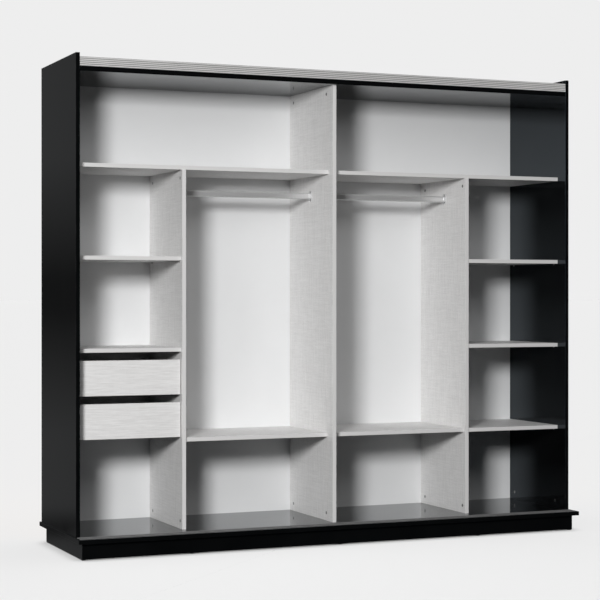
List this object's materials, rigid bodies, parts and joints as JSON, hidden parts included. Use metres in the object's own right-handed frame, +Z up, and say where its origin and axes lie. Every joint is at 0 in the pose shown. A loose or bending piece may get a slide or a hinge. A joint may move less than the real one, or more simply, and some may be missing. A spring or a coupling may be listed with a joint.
{
  "type": "sliding door wardrobe carcass",
  "caption": "Tall wide wardrobe carcass with gloss black outer boards, light shelves and dividers, hanging rods, inner drawers, and running rails for sliding doors.",
  "frame": {"origin": "on the floor, under the middle of the whole outline", "axes": "+X along the width to the right as seen from the front, -Y towards the open front, +Z up"},
  "size_m": [2.5, 0.665, 2.19],
  "materials": {
    "black_gloss_board": "high gloss black faced particle board",
    "raw_black_board": "plain black faced particle board",
    "light_linen_board": "light grey, fine linen texture, matt",
    "drawer_front_board": "light grey, fine horizontal grain, matt",
    "drawer_box_board": "light grey, smooth matt",
    "white_back_panel": "white faced fibre board, matt",
    "white_drawer_bottom": "white faced fibre board, matt",
    "white_plastic": "white extruded plastic",
    "ribbed_aluminium": "brushed and anodised, ribbed",
    "running_strip_aluminium": "drawn, satin",
    "rod_steel": "satin plated steel tube",
    "chrome_bracket": "bright chrome plated",
    "zinc_cam": "zinc die casting",
    "plated_steel": "zinc plated steel",
    "runner_steel": "zinc plated rolled steel",
    "beech_dowel": "plain beech",
    "black_plastic_glide": "black plastic"
  },
  "bodies": {
    "carcass": {"back_panel_joining_strip": "white_plastic", "back_panel_left": "white_back_panel", "back_panel_right": "white_back_panel", "back_panel_screws": "plated_steel", "base_board": "black_gloss_board", "bottom_running_strips": "running_strip_aluminium", "cam_bolts": "plated_steel", "cam_fittings": "zinc_cam", "centre_divider": "light_linen_board", "divider_left": "light_linen_board", "divider_right": "light_linen_board", "dowels": "beech_dowel", "fitting_screws": "plated_steel", "floor_glides": "black_plastic_glide", "hanging_bay_shelf_left": "light_linen_board", "hanging_bay_shelf_right": "light_linen_board", "hanging_rod_left": "rod_steel", "hanging_rod_right": "rod_steel", "left_bay_shelf_lower": "light_linen_board", "left_bay_shelf_upper": "light_linen_board", "loft_shelf_left": "light_linen_board", "loft_shelf_right": "light_linen_board", "lower_drawer_cabinet_runners": "runner_steel", "plinth_back": "black_gloss_board", "plinth_cross_rails": "raw_black_board", "plinth_front": "black_gloss_board", "plinth_left": "black_gloss_board", "plinth_right": "black_gloss_board", "plinth_screws": "plated_steel", "right_bay_shelf_lower": "light_linen_board", "right_bay_shelf_middle": "light_linen_board", "right_bay_shelf_upper": "light_linen_board", "rod_end_brackets": "chrome_bracket", "shelf_pins": "plated_steel", "side_panel_left": "black_gloss_board", "side_panel_right": "black_gloss_board", "top_panel": "black_gloss_board", "top_running_rail": "ribbed_aluminium", "upper_drawer_cabinet_runners": "runner_steel"},
    "upper_drawer": {"upper_drawer_front": "drawer_front_board", "upper_drawer_side_left": "drawer_box_board", "upper_drawer_side_right": "drawer_box_board", "upper_drawer_back": "drawer_box_board", "upper_drawer_bottom": "white_drawer_bottom", "upper_drawer_box_runners": "runner_steel", "upper_drawer_dowels": "beech_dowel", "upper_drawer_screws": "plated_steel", "upper_drawer_runner_screws": "plated_steel"},
    "lower_drawer": {"lower_drawer_front": "drawer_front_board", "lower_drawer_side_left": "drawer_box_board", "lower_drawer_side_right": "drawer_box_board", "lower_drawer_back": "drawer_box_board", "lower_drawer_bottom": "white_drawer_bottom", "lower_drawer_box_runners": "runner_steel", "lower_drawer_dowels": "beech_dowel", "lower_drawer_screws": "plated_steel", "lower_drawer_runner_screws": "plated_steel"},
    "upper_runner_middle": {"upper_drawer_middle_runners": "runner_steel"},
    "lower_runner_middle": {"lower_drawer_middle_runners": "runner_steel"}
  },
  "joints": [
    {"name": "upper_drawer_slide", "type": "slide", "parent": "carcass", "child": "upper_drawer", "axis": [0, -1, 0], "range_m": [0, 0.4]},
    {"name": "upper_runner_slide", "type": "slide", "parent": "carcass", "child": "upper_runner_middle", "axis": [0, -1, 0], "range_m": [0, 0.2]},
    {"name": "lower_drawer_slide", "type": "slide", "parent": "carcass", "child": "lower_drawer", "axis": [0, -1, 0], "range_m": [0, 0.4]},
    {"name": "lower_runner_slide", "type": "slide", "parent": "carcass", "child": "lower_runner_middle", "axis": [0, -1, 0], "range_m": [0, 0.2]}
  ],
  "couplings": [
    {"joint": "upper_runner_slide", "follows": "upper_drawer_slide", "ratio": 0.5},
    {"joint": "lower_runner_slide", "follows": "lower_drawer_slide", "ratio": 0.5}
  ]
}
